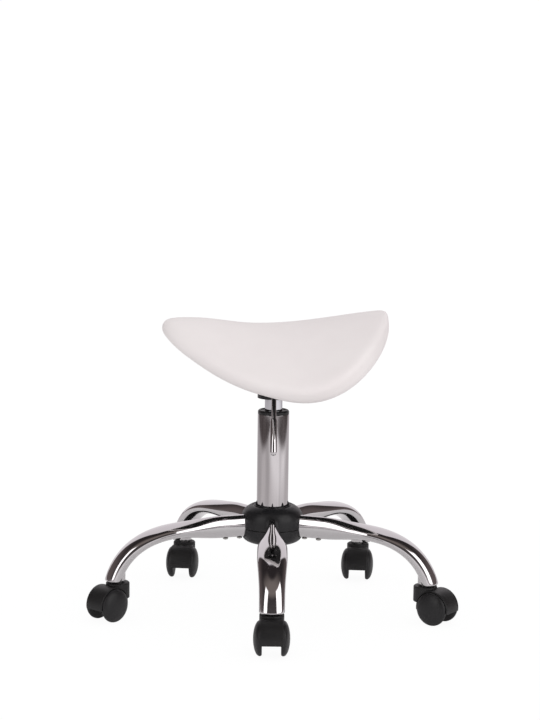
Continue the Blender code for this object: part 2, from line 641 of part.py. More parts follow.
def build_seat(parent):
    """Cushion, moulded shell with four bosses, pressed plate with its socket, and bolts."""
    cushion = pad_mesh(28, 18, 1.0, lambda x: 0.0, cushion_thick, CUSHION_EDGE_POWERS)
    place(mesh_object("seat_cushion", cushion), "leather", parent)
    blank = pad_mesh(28, 14, SHELL_SCALE, shell_offset, lambda x: SHELL_THICK,
                     SHELL_EDGE_POWERS)
    shell = place(mesh_object("seat_shell", blank), "shell_plastic", parent)
    plate_top = PLATE_BASE_Z + PLATE_THICK
    for k, (bolt_x, bolt_y) in enumerate(((BOLT_X, BOLT_Y), (-BOLT_X, BOLT_Y),
                                          (-BOLT_X, -BOLT_Y), (BOLT_X, -BOLT_Y))):
        boss = cylinder(f"boss_{k + 1}", 0.010, plate_top + GAP, plate_top + 0.02, 10)
        for vert in boss.data.vertices:
            if vert.co.z > plate_top + 0.01:
                rim_x = bolt_x + vert.co.x
                vert.co.z = saddle_height(rim_x, bolt_y + vert.co.y) + shell_offset(rim_x)
        boss = cutter(boss, parent)
        boss.location = (bolt_x, bolt_y, 0.0)
        boolean(shell, boss, "UNION")
        hole = cutter(cylinder(f"boss_hole_{k + 1}", clear_r(BOLT_R, SCREW_FACETS),
                               plate_top - 0.002, plate_top + BOLT_REACH + GAP, SCREW_FACETS),
                      parent)
        hole.location = (bolt_x, bolt_y, 0.0)
        boolean(shell, hole, "DIFFERENCE")

    plate = place(box("seat_plate", (-PLATE_HALF_X, -PLATE_HALF_Y, PLATE_BASE_Z),
                      (PLATE_HALF_X, PLATE_HALF_Y, plate_top)), "black_steel", parent)
    # The corner rounding is part of the blank, so it comes before the holes.
    corner = plate.modifiers.new("corners", "BEVEL")
    corner.width = 0.0008
    corner.segments = 1
    corner.limit_method = "NONE"
    socket = cutter(turned("plate_socket", (
        (0.0, plate_top), (0.0180, plate_top), (0.0225, PLATE_BASE_Z - 0.001), (0.0233, 0.3460),
        (0.0256, 0.3445), (0.0256, 0.3385), (0.0, 0.3385)), HOOD_FACETS), parent)
    boolean(plate, socket, "UNION")
    bore = cutter(turned("plate_bore", (
        (0.0, plate_top + 0.01), (0.0139, plate_top + 0.01), (0.0139, plate_top),
        (CYLINDER_R + 2.0 * GAP, 0.3480), (0.0215, 0.3470), (0.0228, 0.3420), (0.0228, 0.33),
        (0.0, 0.33)), HOOD_FACETS), parent)
    boolean(plate, bore, "DIFFERENCE")
    notch = cutter(box("lever_notch", (-0.0062, -0.07, PLATE_BASE_Z - 0.004),
                       (0.0062, LEVER_PIVOT_Y + 0.003, plate_top + 0.002)), parent)
    boolean(plate, notch, "DIFFERENCE")
    for sign in (-1.0, 1.0):
        low_x, high_x = sorted((sign * 0.0075, sign * 0.0105))
        lug = cutter(box(f"lug_{'left' if sign < 0 else 'right'}",
                         (low_x, LEVER_PIVOT_Y - 0.006, plate_top - 0.001),
                         (high_x, LEVER_PIVOT_Y + 0.006, LEVER_Z + 0.0040)), parent)
        boolean(plate, lug, "UNION")
    pivot_hole = cutter(cylinder("pivot_hole", clear_r(CROSS_R, SCREW_FACETS), -0.014, 0.014,
                                 SCREW_FACETS, Matrix.Rotation(math.pi / 2.0, 4, "Y")), parent)
    pivot_hole.location = flat(LEVER_PIVOT_Y, LEVER_Z)
    boolean(plate, pivot_hole, "DIFFERENCE")
    for k, (bolt_x, bolt_y) in enumerate(((BOLT_X, BOLT_Y), (-BOLT_X, BOLT_Y),
                                          (-BOLT_X, -BOLT_Y), (BOLT_X, -BOLT_Y))):
        hole = cutter(cylinder(f"plate_hole_{k + 1}", clear_r(BOLT_R, SCREW_FACETS),
                               PLATE_BASE_Z - 0.005, plate_top + 0.005, SCREW_FACETS), parent)
        hole.location = (bolt_x, bolt_y, 0.0)
        boolean(plate, hole, "DIFFERENCE")
        under = PLATE_BASE_Z - GAP
        top = plate_top + BOLT_REACH
        bolt = place(turned(f"seat_bolt_{k + 1}", (
            (0.0, top), (BOLT_R, top), (BOLT_R, under), (0.0058, under), (0.0055, under - 0.0035),
            (0.0, under - 0.0040)), SCREW_FACETS), "steel", parent)
        bolt.location = (bolt_x, bolt_y, 0.0)


# ---- release lever ------------------------------------------------------------------


def rod_mesh(name, points, radius, end_shares=()):
    """A round bar along a poly line, its last points thinned by the given shares."""
    curve = bpy.data.curves.new(name, "CURVE")
    curve.dimensions = "3D"
    curve.bevel_depth = radius
    curve.bevel_resolution = 2
    curve.use_fill_caps = True
    spline = curve.splines.new("POLY")
    spline.points.add(len(points) - 1)
    shares = [1.0] * (len(points) - len(end_shares)) + list(end_shares)
    for target, point, share in zip(spline.points, points, shares):
        target.co = (*point, 1.0)
        target.radius = share
    guide = bpy.data.objects.new(name, curve)
    CUTTERS.objects.link(guide)
    bpy.context.view_layer.update()
    depsgraph = bpy.context.evaluated_depsgraph_get()
    mesh = bpy.data.meshes.new_from_object(guide.evaluated_get(depsgraph))
    bpy.data.objects.remove(guide, do_unlink=True)
    bm = bmesh.new()
    bm.from_mesh(mesh)
    bmesh.ops.remove_doubles(bm, verts=bm.verts, dist=MERGE)
    bmesh.ops.recalc_face_normals(bm, faces=bm.faces)
    bpy.data.meshes.remove(mesh)
    return mesh_object(name, bm)


def lever_point(run):
    """A point of the lever's sloping run, from its bend down; it curves in after the straight."""
    bend = flat(LEVER_BEND_Y, LEVER_BEND_Z)
    straight = min(run, GRIP_STRAIGHT_END)
    point = bend + flat(-math.sin(LEVER_SLOPE), -math.cos(LEVER_SLOPE)) * straight
    turned_by = LEVER_SLOPE - GRIP_END_SLOPE
    rest = max(run - GRIP_STRAIGHT_END, 0.0) / GRIP_ARC * turned_by
    arc_r = GRIP_ARC / turned_by
    slope = LEVER_SLOPE - rest
    across = math.cos(slope) - math.cos(LEVER_SLOPE)
    down = math.sin(LEVER_SLOPE) - math.sin(slope)
    return point - flat(across, down) * arc_r


def lever_path():
    """The bar from its tongue over the release pin, round the bend, to its end in the grip."""
    tongue = flat(0.006, LEVER_Z)
    pivot = flat(LEVER_PIVOT_Y, LEVER_Z)
    start = pivot.lerp(tongue, 0.2)
    corner = pivot.lerp(flat(LEVER_BEND_Y, LEVER_BEND_Z), 0.55)
    end = lever_point(0.016)
    path = [tongue, start]
    for i in range(1, 6):
        share = i / 6.0
        rest = 1.0 - share
        path.append(start * rest ** 2 + corner * 2.0 * share * rest + end * share ** 2)
    return path + [end, lever_point(GRIP_START + GRIP_BORE)]


def build_lever(parent):
    """The bent lever with its cross pin, and the grip pushed over its end."""
    pivot = flat(LEVER_PIVOT_Y, LEVER_Z)
    lever = place(rod_mesh("release_lever", [point - pivot for point in lever_path()], LEVER_R),
                  "chrome", parent)
    cross = cutter(cylinder("lever_cross", CROSS_R, -0.0125, 0.0125, SCREW_FACETS,
                            Matrix.Rotation(math.pi / 2.0, 4, "Y")), parent)
    boolean(lever, cross, "UNION")

    end = GRIP_STRAIGHT_END + GRIP_ARC
    runs = [GRIP_START, GRIP_STRAIGHT_END]
    runs += [GRIP_STRAIGHT_END + GRIP_ARC * share for share in (0.3, 0.6)]
    runs += [end - 0.0026, end - 0.0008, end]
    points = [lever_point(run) - pivot for run in runs]
    grip = place(rod_mesh("lever_grip", points, GRIP_R, (1.0, 0.78, 0.45)), "chrome", parent)
    lay = Matrix.Rotation(math.pi - LEVER_SLOPE, 4, "X")
    bore = cutter(cylinder("grip_bore", clear_r(LEVER_R, ROD_FACETS), -0.005, GRIP_BORE + GAP,
                           ROD_FACETS, lay), parent)
    bore.location = points[0]
    boolean(grip, bore, "DIFFERENCE")


# ---- assembly -----------------------------------------------------------------------


def build():
    """Places every piece about the column's axis."""
    column = empty("column_axis", (0.0, COLUMN_Y, 0.0))
    spokes = []
    for k in range(ARM_COUNT):
        angle = -math.pi / 2.0 + 2.0 * math.pi * k / ARM_COUNT
        spoke = empty(f"spoke_{k + 1}", (0.0, 0.0, 0.0), column, angle)
        spokes.append(spoke)
        build_arm(k + 1, spoke)
        stem_at = (STEM_CIRCLE_R * math.cos(angle), STEM_CIRCLE_R * math.sin(angle), 0.0)
        stem = empty(f"stem_axis_{k + 1}", stem_at, column)
        swivel = empty(f"swivel_{k + 1}", stem_at, column, math.radians(CASTER_SWIVEL_DEG[k]))
        build_caster(k + 1, stem, swivel)
    build_hub(column, spokes)
    build_column(column)
    build_gas_cylinder(column)
    build_seat(column)
    pivot = empty("lever_axis", flat(LEVER_PIVOT_Y, LEVER_Z), column)
    build_lever(pivot)


build()
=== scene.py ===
"""Looks for the saddle-seat work stool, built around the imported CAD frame."""

import json
import math

import bmesh
import bpy
import numpy as np
from mathutils import Matrix, Vector


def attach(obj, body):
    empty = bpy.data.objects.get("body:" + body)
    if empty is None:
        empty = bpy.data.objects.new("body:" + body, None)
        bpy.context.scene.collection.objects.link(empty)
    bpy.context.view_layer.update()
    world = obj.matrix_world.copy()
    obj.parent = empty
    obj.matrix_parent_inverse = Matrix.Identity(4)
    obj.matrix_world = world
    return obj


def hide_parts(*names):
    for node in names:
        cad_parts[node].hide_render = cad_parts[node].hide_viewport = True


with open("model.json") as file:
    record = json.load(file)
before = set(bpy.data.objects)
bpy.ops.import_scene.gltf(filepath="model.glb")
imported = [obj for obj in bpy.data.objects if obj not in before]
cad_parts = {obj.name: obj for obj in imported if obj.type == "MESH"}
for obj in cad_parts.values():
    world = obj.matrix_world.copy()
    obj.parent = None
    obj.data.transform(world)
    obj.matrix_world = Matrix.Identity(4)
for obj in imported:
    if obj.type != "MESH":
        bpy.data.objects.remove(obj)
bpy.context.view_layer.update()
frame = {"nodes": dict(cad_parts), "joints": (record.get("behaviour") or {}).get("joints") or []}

NODES = frame["nodes"]
JOINTS = {joint["name"]: joint for joint in frame["joints"]}
COLUMN = Vector(JOINTS["seat_swivel"]["pos_m"]) * Vector((1.0, 1.0, 0.0))
TO_COLUMN = Matrix.Translation(COLUMN)
SCENE = bpy.context.scene


# ---- node helpers -------------------------------------------------------------------


class Nodes:
    """Short calls for building one node tree."""

    def __init__(self, tree):
        self.tree = tree

    def add(self, kind, inputs=None, **settings):
        """A node with its settings, and its inputs set or linked by name or number."""
        node = self.tree.nodes.new(kind)
        for key, value in settings.items():
            setattr(node, key, value)
        for key, value in (inputs or {}).items():
            self.put(node.inputs[key], value)
        return node

    def put(self, socket, value):
        """Links a socket, or sets a plain value."""
        if isinstance(value, bpy.types.NodeSocket):
            self.tree.links.new(value, socket)
        else:
            socket.default_value = value

    def math(self, operation, first, second=0.0, clamp=False):
        """One Math node's result."""
        node = self.add("ShaderNodeMath", {0: first, 1: second}, operation=operation,
                        use_clamp=clamp)
        return node.outputs[0]

    def ramp(self, value, low, high, to_low=0.0, to_high=1.0):
        """A smooth Map Range."""
        node = self.add("ShaderNodeMapRange", {"Value": value, "From Min": low, "From Max": high,
                                               "To Min": to_low, "To Max": to_high},
                        interpolation_type="SMOOTHSTEP")
        return node.outputs["Result"]

    def mix(self, share, first, second):
        """A colour mix."""
        node = self.add("ShaderNodeMix", data_type="RGBA")
        self.put(node.inputs["Factor"], share)
        self.put(node.inputs["A"], first)
        self.put(node.inputs["B"], second)
        return node.outputs["Result"]

    def noise(self, place, scale, detail=3.0, rough=0.55, distort=0.0):
        """A noise value over a position."""
        node = self.add("ShaderNodeTexNoise", {"Vector": place, "Scale": scale, "Detail": detail,
                                               "Roughness": rough, "Distortion": distort})
        return node.outputs["Fac"]


def shader(name):
    """A material with its Nodes and its Principled shader."""
    made = bpy.data.materials.new(name)
    made.use_nodes = True
    return made, Nodes(made.node_tree), made.node_tree.nodes["Principled BSDF"]


def rgb(*values):
    """A colour with alpha, from linear values."""
    return (*values, 1.0)


def stretched(nodes, scale):
    """Object coordinates scaled per axis."""
    coordinates = nodes.add("ShaderNodeTexCoord")
    node = nodes.add("ShaderNodeMapping", {"Vector": coordinates.outputs["Object"],
                                           "Scale": scale})
    return node.outputs["Vector"]


def leather_material():
    """Smooth pale imitation leather with a fine pebble grain and slow tone changes."""
    made, nodes, principled = shader("pale_leather")
    place = stretched(nodes, (1.0, 1.0, 1.0))
    cells = nodes.add("ShaderNodeTexVoronoi", {"Vector": place, "Scale": 1150.0,
                                               "Randomness": 1.0},
                      feature="SMOOTH_F1").outputs["Distance"]
    creases = nodes.noise(place, 420.0, 4.0, 0.6, 0.4)
    grain = nodes.math("ADD", nodes.math("MULTIPLY", cells, 0.6),
                       nodes.math("MULTIPLY", creases, 0.8))
    tone = nodes.noise(place, 9.0, 3.0, 0.5)
    pores = nodes.ramp(cells, 0.30, 0.75)
    base = nodes.mix(nodes.ramp(tone, 0.35, 0.65), rgb(0.800, 0.745, 0.745),
                     rgb(0.822, 0.770, 0.768))
    nodes.put(principled.inputs["Base Color"],
              nodes.mix(nodes.math("MULTIPLY", pores, 0.10), base, rgb(0.73, 0.67, 0.67)))
    nodes.put(principled.inputs["Roughness"], nodes.ramp(creases, 0.3, 0.7, 0.44, 0.54))
    bump = nodes.add("ShaderNodeBump", {"Height": grain, "Strength": 0.22, "Distance": 0.0004})
    nodes.put(principled.inputs["Normal"], bump.outputs["Normal"])
    principled.inputs["Specular IOR Level"].default_value = 0.42
    return made


def chrome_material(name, colour=(0.60, 0.585, 0.594), rough=(0.035, 0.085), waves=0.10,
                    painted_reflection_depth=0.0):
    """Chrome plating: a faint orange peel, slow changes of gloss and, if asked for, dark upright
    stripes painted into the colour as a painted reflection.
    """
    made, nodes, principled = shader(name)
    place = stretched(nodes, (1.0, 1.0, 1.0))
    wiped = nodes.noise(stretched(nodes, (1.0, 1.0, 0.25)), 45.0, 4.0, 0.6, 0.3)
    fine = nodes.noise(place, 2600.0, 2.0, 0.5)
    peel = nodes.noise(place, 160.0, 2.0, 0.4)
    tint = nodes.mix(nodes.ramp(wiped, 0.35, 0.70), rgb(*(c * 0.965 for c in colour)),
                     rgb(*colour))
    # Painted reflection: dark upright stripes in the colour, standing in for reflected dark
    # bands.
    if painted_reflection_depth:
        reflection_bands = nodes.noise(stretched(nodes, (1.0, 1.0, 0.02)), 150.0, 2.0, 0.5)
        dark = nodes.mix(painted_reflection_depth, tint, rgb(0.0, 0.0, 0.0))
        tint = nodes.mix(nodes.ramp(reflection_bands, 0.34, 0.62), dark, tint)
    nodes.put(principled.inputs["Base Color"], tint)
    gloss = nodes.ramp(wiped, 0.35, 0.75, rough[0], rough[1])
    nodes.put(principled.inputs["Roughness"],
              nodes.math("ADD", gloss, nodes.math("MULTIPLY", fine, 0.012)))
    bump = nodes.add("ShaderNodeBump", {"Height": peel, "Strength": waves, "Distance": 0.00006})
    nodes.put(principled.inputs["Normal"], bump.outputs["Normal"])
    principled.inputs["Metallic"].default_value = 1.0
    return made


def plastic_material(name, colour, rough=(0.40, 0.52), grain=900.0, depth=0.00010,
                     strength=0.25):
    """Moulded black plastic: spark-eroded grain, slow gloss changes and dusty high spots."""
    made, nodes, principled = shader(name)
    place = stretched(nodes, (1.0, 1.0, 1.0))
    texture = nodes.noise(place, grain, 4.0, 0.65)
    slow = nodes.noise(place, 60.0, 3.0, 0.5)
    lifted = rgb(*(c * 1.55 + 0.004 for c in colour))
    dust = nodes.math("MULTIPLY", nodes.ramp(texture, 0.50, 0.80), nodes.ramp(slow, 0.3, 0.7))
    nodes.put(principled.inputs["Base Color"], nodes.mix(dust, rgb(*colour), lifted))
    nodes.put(principled.inputs["Roughness"], nodes.ramp(slow, 0.3, 0.7, rough[0], rough[1]))
    bump = nodes.add("ShaderNodeBump", {"Height": texture, "Strength": strength,
                                        "Distance": depth})
    nodes.put(principled.inputs["Normal"], bump.outputs["Normal"])
    principled.inputs["Specular IOR Level"].default_value = 0.36
    return made


def steel_material(name, colour, rough=(0.22, 0.38)):
    """Turned or plated steel with fine lines round the piece and faint stains."""
    made, nodes, principled = shader(name)
    lines = nodes.noise(stretched(nodes, (0.2, 0.2, 40.0)), 120.0, 3.0, 0.6)
    stains = nodes.noise(stretched(nodes, (1.0, 1.0, 1.0)), 90.0, 3.0, 0.5)
    nodes.put(principled.inputs["Base Color"],
              nodes.mix(nodes.ramp(stains, 0.4, 0.7), rgb(*colour),
                        rgb(*(c * 0.8 for c in colour))))
    nodes.put(principled.inputs["Roughness"], nodes.ramp(lines, 0.3, 0.7, rough[0], rough[1]))
    bump = nodes.add("ShaderNodeBump", {"Height": lines, "Strength": 0.15, "Distance": 0.00005})
    nodes.put(principled.inputs["Normal"], bump.outputs["Normal"])
    principled.inputs["Metallic"].default_value = 1.0
    return made


LEATHER = leather_material()
CHROME = chrome_material("chrome_plating")
# The tube's chrome gets the painted reflection stripes (0.20).
TUBE_CHROME = chrome_material("tube_chrome", (0.530, 0.513, 0.518), (0.05, 0.10), 0.06,
                              0.20)
PISTON_CHROME = chrome_material("piston_chrome", (0.54, 0.545, 0.57), (0.06, 0.11), 0.03)
COVER = plastic_material("cover_plastic", (0.0085, 0.0082, 0.0095), (0.34, 0.46))
HOOD = plastic_material("hood_plastic", (0.009, 0.0085, 0.0090), (0.42, 0.54), 1100.0)
WHEEL = plastic_material("wheel_plastic", (0.010, 0.0095, 0.0105), (0.40, 0.50), 1300.0)
BUSH = plastic_material("bush_plastic", (0.009, 0.0085, 0.0095), (0.28, 0.36), 1500.0, 0.00005)
SHELL = plastic_material("shell_plastic", (0.014, 0.0135, 0.0135), (0.55, 0.68), 520.0, 0.00025,
                         0.4)
BLACK_STEEL = plastic_material("powder_coat", (0.011, 0.0105, 0.011), (0.30, 0.42), 700.0,
                               0.00012, 0.35)
STEEL = steel_material("turned_steel", (0.52, 0.51, 0.51))
ZINC = steel_material("zinc_plate", (0.50, 0.49, 0.47), (0.28, 0.42))


# ---- mesh helpers -------------------------------------------------------------------


def finish_mesh(name, bm, sharp=40.0):
    """Turns a bmesh into an object, smooth but for its sharp edges."""
    bmesh.ops.recalc_face_normals(bm, faces=bm.faces)
    mesh = bpy.data.meshes.new(name)
    bm.to_mesh(mesh)
    bm.free()
    mesh.shade_smooth()
    mesh.set_sharp_from_angle(angle=math.radians(sharp))
    made = bpy.data.objects.new(name, mesh)
    SCENE.collection.objects.link(made)
    return made


def join_loops(bm, loops, closed=False):
    """Adds four-sided faces between neighbouring loops of vertices with equal counts."""
    count = len(loops[0])
    pairs = list(zip(loops, loops[1:]))
    if closed:
        pairs.append((loops[-1], loops[0]))
    for first, second in pairs:
        for i in range(count):
            j = (i + 1) % count
            bm.faces.new((first[i], first[j], second[j], second[i]))


def fan(bm, pole, loop):
    """Closes a loop with three-sided faces to one vertex."""
    for i, vert in enumerate(loop):
        bm.faces.new((pole, vert, loop[(i + 1) % len(loop)]))


def rings_mesh(bm, rings, closed=False):
    """Adds a skin through rings of points, with flat ends or closed on itself."""
    loops = [[bm.verts.new(point) for point in ring] for ring in rings]
    join_loops(bm, loops, closed)
    if not closed:
        bm.faces.new(loops[0])
        bm.faces.new(loops[-1][::-1])


def fillet(points, radii, steps=4):
    """The poly line with its inner corners rounded by the given radii."""
    out = [points[0]]
    for i in range(1, len(points) - 1):
        before, corner, after = (np.array(points[i + k], float) for k in (-1, 0, 1))
        to_before = before - corner
        to_after = after - corner
        radius = radii[i] if isinstance(radii, (list, tuple)) else radii
        reach = min(radius, 0.45 * np.linalg.norm(to_before), 0.45 * np.linalg.norm(to_after))
        if reach < 1e-6:
            out.append(tuple(corner))
            continue
        start = corner + to_before / np.linalg.norm(to_before) * reach
        end = corner + to_after / np.linalg.norm(to_after) * reach
        for k in range(steps + 1):
            t = k / steps
            out.append(tuple(start * (1 - t) ** 2 + corner * 2 * t * (1 - t) + end * t * t))
    out.append(points[-1])
    return out


def lathe(bm, profile, steps, matrix=None):
    """Adds a turned body; the profile is (radius, height), closed on the axis or as a ring."""
    on_axis = profile[0][0] < 1e-9
    inner = profile[1:-1] if on_axis else profile
    rings = []
    for radius, height in inner:
        rings.append([Vector((radius * math.cos(2 * math.pi * i / steps),
                              radius * math.sin(2 * math.pi * i / steps), height))
                      for i in range(steps)])
    if matrix is not None:
        rings = [[matrix @ point for point in ring] for ring in rings]
    if not on_axis:
        rings_mesh(bm, rings, closed=True)
        return
    loops = [[bm.verts.new(point) for point in ring] for ring in rings]
    join_loops(bm, loops)
    for height, loop in ((profile[0][1], loops[0]), (profile[-1][1], loops[-1])):
        point = Vector((0.0, 0.0, height))
        fan(bm, bm.verts.new(matrix @ point if matrix is not None else point), loop)


def turned(name, profile, steps=96, matrix=None, sharp=40.0):
    """A turned piece as an object."""
    bm = bmesh.new()
    lathe(bm, profile, steps, matrix)
    return finish_mesh(name, bm, sharp)


def cut(piece, tool, operation="DIFFERENCE"):
    """Applies an exact Boolean and removes the tool."""
    step = piece.modifiers.new("cut", "BOOLEAN")
    step.operation = operation
    step.solver = "EXACT"
    step.object = tool
    apply_modifiers(piece)
    bpy.data.objects.remove(tool, do_unlink=True)


def apply_modifiers(piece):
    """Replaces the mesh by what its modifiers make of it."""
    bpy.context.view_layer.update()
    depsgraph = bpy.context.evaluated_depsgraph_get()
    mesh = bpy.data.meshes.new_from_object(piece.evaluated_get(depsgraph))
    piece.modifiers.clear()
    piece.data = mesh


def soften(piece, width, segments=2, angle=42.0):
    """Rounds a piece's sharp edges a little, after tidying what the cuts left."""
    bm = bmesh.new()
    bm.from_mesh(piece.data)
    bmesh.ops.remove_doubles(bm, verts=bm.verts, dist=0.00003)
    bmesh.ops.dissolve_degenerate(bm, edges=bm.edges, dist=0.00003)
    bmesh.ops.dissolve_limit(bm, angle_limit=math.radians(0.6), verts=bm.verts, edges=bm.edges)
    bm.to_mesh(piece.data)
    bm.free()
    bevel = piece.modifiers.new("edges", "BEVEL")
    bevel.width = width
    bevel.segments = segments
    bevel.limit_method = "ANGLE"
    bevel.angle_limit = math.radians(angle)
    apply_modifiers(piece)
    piece.data.shade_smooth()
    piece.data.set_sharp_from_angle(angle=math.radians(50))


def dress(piece, material, body, stands_for, matrix=None):
    """Places a finished piece, gives it its material and sets what it stands for."""
    piece.data.materials.clear()
    piece.data.materials.append(material)
    if matrix is not None:
        piece.matrix_world = matrix
    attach(piece, body)
    if stands_for:
        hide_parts(*stands_for)


# ---- base arms ----------------------------------------------------------------------

ROOT_R, ROOT_Z = 0.038, 0.1352        # centre line where the arm starts, inside the hub
LEVEL_END_R = 0.140                   # end of the nearly level run
LEVEL_DROP = 0.0012
END_R, END_Z = 0.2598, 0.0595
STEM_CIRCLE_R = 0.2525
SOCKET_R, SOCKET_TOP_Z = 0.0120, 0.080
FOOT_LIP = 0.0024
SCREW_RADII = {"inner": 0.0545, "outer": 0.0775}
BEND = [np.array(p) for p in ((LEVEL_END_R, ROOT_Z - LEVEL_DROP), (0.2020, ROOT_Z - 0.0020),
                              (0.2445, 0.1090), (END_R, END_Z))]


def smooth(value, low, high):
    """0 below low, 1 above high, smooth between."""
    t = min(max((value - low) / (high - low), 0.0), 1.0)
    return t * t * (3.0 - 2.0 * t)


def bend_point(t):
    """The bend's centre line."""
    rest = 1.0 - t
    return (BEND[0] * rest ** 3 + BEND[1] * 3 * rest * rest * t + BEND[2] * 3 * rest * t * t
            + BEND[3] * t ** 3)


def arm_sizes(radius):
    """Half width and half height of the arm's oval."""
    flatten = smooth(radius, 0.085, 0.165)
    ease = smooth(radius, 0.190, 0.260)
    return (0.0120 + 0.0110 * flatten - 0.0039 * ease,
            0.0178 - 0.0064 * flatten + 0.0010 * ease)


def arm_ring(point, tilt, half_width, half_height, count=56):
    """One oval across the arm."""
    ring = []
    for i in range(count):
        angle = 2.0 * math.pi * i / count
        rise = half_height * math.sin(angle)
        ring.append((point[0] + rise * math.sin(tilt), half_width * math.cos(angle),
                     point[1] + rise * math.cos(tilt)))
    return ring


def make_arm(number, matrix):
    """The chromed arm with its rounded foot and the welded socket for the caster's stem."""
    bm = bmesh.new()
    level = [np.array((ROOT_R + (LEVEL_END_R - ROOT_R) * i / 16,
                       ROOT_Z - LEVEL_DROP * i / 16)) for i in range(16)]
    points = level + [bend_point(i / 44) for i in range(45)]
    rings = []
    for i, point in enumerate(points):
        ahead = points[min(i + 1, len(points) - 1)] - points[max(i - 1, 0)]
        tilt = math.atan2(-ahead[1], ahead[0])
        share = smooth(i, len(points) - 14, len(points) - 3)
        turn = (math.pi / 2.0 - tilt) * share
        half_width, half_height = arm_sizes(point[0])
        rings.append((point, tilt + turn, half_width, half_height / math.cos(turn)))
    body = [arm_ring(*ring) for ring in rings if ring[0][1] > END_Z + FOOT_LIP + 0.0004]
    last, tilt, half_width, half_height = rings[-1]
    lean = (points[-1][0] - points[-3][0]) / (points[-1][1] - points[-3][1])
    for step in range(6):
        angle = math.pi / 2.0 * step / 5
        height = FOOT_LIP * (1.0 - math.sin(angle))
        inset = FOOT_LIP * (1.0 - math.cos(angle))
        body.append(arm_ring((last[0] + lean * height, END_Z + height), math.pi / 2.0,
                             half_width - inset, half_height - inset))
    rings_mesh(bm, body)
    socket = fillet([(0.0, SOCKET_TOP_Z), (0.0108, SOCKET_TOP_Z), (SOCKET_R, 0.0785),
                     (SOCKET_R, END_Z - 0.0002), (0.0, END_Z - 0.0002)],
                    [0, 0, 0.0006, 0.0016, 0], 4)
    lathe(bm, socket, 48, Matrix.Translation((STEM_CIRCLE_R, 0.0, 0.0)))
    arm = finish_mesh(f"arm_tube_{number}", bm, 60.0)
    dress(arm, CHROME, "base", [f"arm_{number}"], matrix)


def make_arm_screw(number, place, radius, matrix):
    """A pan-head screw under the arm with a cross recess."""
    half_height = arm_sizes(radius)[1]
    low = ROOT_Z - LEVEL_DROP * (radius - 0.034) / 0.106 - half_height
    bm = bmesh.new()
    head = low - 0.0003
    profile = fillet([(0.0, low + 0.0098), (0.0019, low + 0.0098), (0.0019, head),
                      (0.0044, head), (0.0042, head - 0.0016), (0.0026, head - 0.0026),
                      (0.0, head - 0.0027)], [0, 0, 0, 0.0003, 0.0008, 0.0008, 0], 3)
    lathe(bm, profile, 32)
    screw = finish_mesh(f"arm_screw_{place}_piece_{number}", bm)
    for turn in (0.0, math.pi / 2.0):
        slot = bmesh.new()
        bmesh.ops.create_cube(slot, size=1.0)
        bmesh.ops.scale(slot, verts=slot.verts, vec=(0.0044, 0.0008, 0.0024))
        bmesh.ops.transform(slot, verts=slot.verts, matrix=Matrix.Translation(
            (0.0, 0.0, head - 0.0026)) @ Matrix.Rotation(turn + 0.3 * number, 4, "Z"))
        cut(screw, finish_mesh("slot", slot))
    screw.data.shade_smooth()
    screw.data.set_sharp_from_angle(angle=math.radians(35))
    dress(screw, ZINC, "base", [f"arm_screw_{number}_{place}"],
          matrix @ Matrix.Translation((radius, 0.0, 0.0)))


# ---- hub ----------------------------------------------------------------------------

PARTING_Z = 0.1315
RECESS_SIZE = (0.0178, 0.0186)        # half width and half height of the step round an arm
ARCH_SIZE = (0.0124, 0.0182)
TEETH = 9


def oval_prism(name, half_width, half_height, start, end, height, matrix, count=48, power=2.4):
    """A rounded prism along +X, used to cut the arches."""
    bm = bmesh.new()
    rings = []
    for along in (start, end):
        ring = []
        for i in range(count):
            angle = 2.0 * math.pi * i / count
            c, s = math.cos(angle), math.sin(angle)
            ring.append((along, half_width * math.copysign(abs(c) ** (2 / power), c),
                         height + half_height * math.copysign(abs(s) ** (2 / power), s)))
        rings.append(ring)
    rings_mesh(bm, rings)
    made = finish_mesh(name, bm)
    made.matrix_world = matrix
    return made


